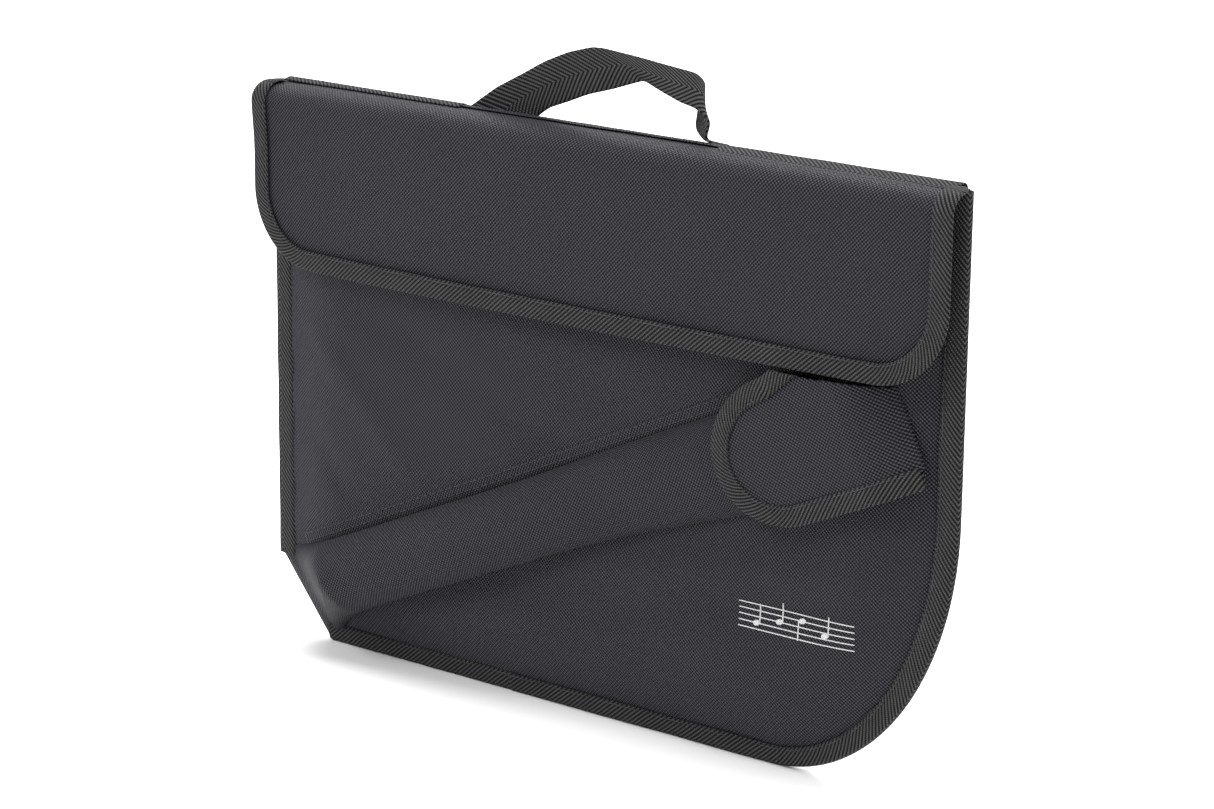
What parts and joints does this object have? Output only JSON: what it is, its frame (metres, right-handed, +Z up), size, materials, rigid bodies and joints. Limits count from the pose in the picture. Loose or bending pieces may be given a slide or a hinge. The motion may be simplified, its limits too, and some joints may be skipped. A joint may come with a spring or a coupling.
{
  "type": "music stand bag",
  "caption": "Flat fabric carrying bag for a folding music stand: padded music pocket with a fold-over flap, slanted stand sleeve with its own flap, taped edges and a ribbon handle.",
  "frame": {"origin": "centre of the bounding box in X and Y, on the bottom edge (Z = 0)", "axes": "+Z up through the handle, +X across the bag towards the rounded corner, the front with the flap looks along -Y"},
  "size_m": [0.486, 0.0434, 0.386],
  "materials": {
    "pocket_cloth": "woven coated nylon, dark blue-grey",
    "edge_tape": "herringbone woven tape, dark grey",
    "lining_cloth": "smooth plain-weave lining",
    "foam": "thin laminated padding",
    "hook_and_loop": "brushed hook-and-loop tape",
    "handle_tape": "herringbone woven ribbon",
    "thread": "embroidery and tack thread"
  },
  "bodies": {
    "bag": {"back_shell": "pocket_cloth", "back_foam": "foam", "back_lining": "lining_cloth", "front_shell": "pocket_cloth", "front_lining": "lining_cloth", "mouth_binding": "edge_tape", "flap_loop_strip": "hook_and_loop", "left_binding": "edge_tape", "bottom_binding": "edge_tape", "right_binding": "edge_tape", "ridge_tape_left": "edge_tape", "ridge_roll": "pocket_cloth", "ridge_tape_right": "edge_tape", "stand_sleeve": "pocket_cloth", "sleeve_end_gusset": "pocket_cloth", "sleeve_end_wrap": "pocket_cloth", "sleeve_loop_patch": "hook_and_loop", "sleeve_flap_anchor": "edge_tape", "bar_tacks": "thread", "emblem": "thread"},
    "flap_fold": {"flap_fold_shell": "pocket_cloth", "flap_fold_lining": "lining_cloth", "fold_tape_left": "edge_tape", "fold_tape_right": "edge_tape"},
    "main_flap": {"flap_shell": "pocket_cloth", "flap_lining": "lining_cloth", "flap_foam": "foam", "flap_binding": "edge_tape", "flap_hook_strip": "hook_and_loop"},
    "sleeve_flap": {"sleeve_flap_shell": "pocket_cloth", "sleeve_flap_lining": "lining_cloth", "sleeve_flap_binding": "edge_tape", "sleeve_flap_hook_patch": "hook_and_loop"},
    "handle": {"handle_strap": "handle_tape"}
  },
  "joints": [
    {"name": "flap_lift", "type": "hinge", "parent": "bag", "child": "flap_fold", "pos_m": [0, 0.0151, 0.3376], "axis": [-1, 0, 0], "range_deg": [0, 86]},
    {"name": "flap_unfold", "type": "hinge", "parent": "flap_fold", "child": "main_flap", "pos_m": [0, -0.0045, 0.3314], "axis": [-1, 0, 0], "range_deg": [0, 92]},
    {"name": "sleeve_flap_lift", "type": "hinge", "parent": "bag", "child": "sleeve_flap", "pos_m": [0.21102, -0.0004, 0.21779], "axis": [-0.4067, 0, 0.9135], "range_deg": [0, 95]},
    {"name": "handle_swing", "type": "hinge", "parent": "bag", "child": "handle", "pos_m": [0, 0.0189, 0.3406], "axis": [-1, 0, 0], "range_deg": [0, 100]}
  ]
}
